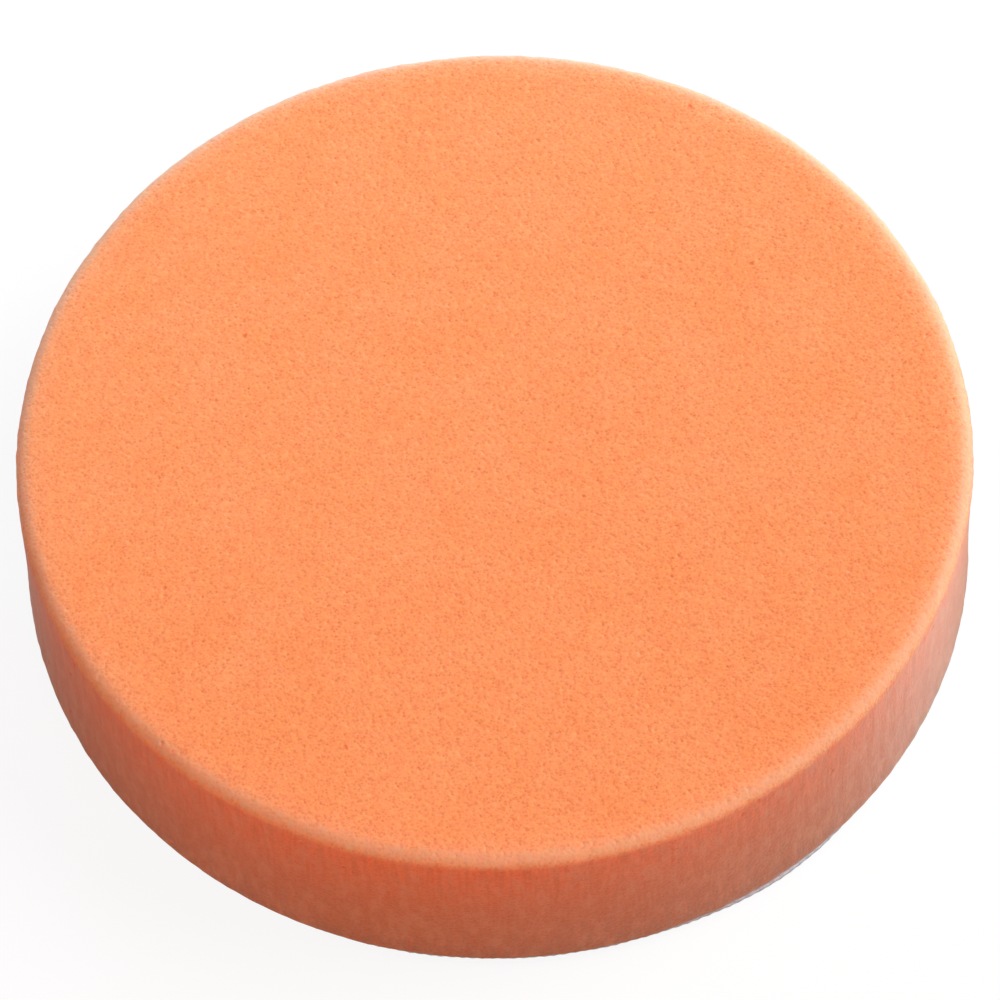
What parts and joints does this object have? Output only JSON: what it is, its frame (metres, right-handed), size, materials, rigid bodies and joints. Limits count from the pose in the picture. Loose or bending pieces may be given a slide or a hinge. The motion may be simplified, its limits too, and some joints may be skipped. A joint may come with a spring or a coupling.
{
  "type": "foam polishing pad",
  "caption": "Flat round foam polishing pad with a square-cut side, a softened face edge and a white hook-and-loop backing.",
  "frame": {"origin": "centre of the backing's underside, on the surface the pad lies on", "axes": "+Z out of the polishing face, along the disc's axis; X and Y across the disc, with no preferred direction"},
  "size_m": [0.15, 0.15, 0.032],
  "materials": {
    "orange_foam": "matte open-cell polyurethane foam, velvety, finely speckled with cells",
    "laminating_film": "thin translucent hot-melt film",
    "knitted_cloth": "white warp-knitted nylon ground",
    "loop_pile": "white brushed nylon loops"
  },
  "bodies": {
    "root": {"foam_disc": "orange_foam", "adhesive_film": "laminating_film", "backing_cloth": "knitted_cloth", "loop_pile": "loop_pile"}
  },
  "joints": []
}
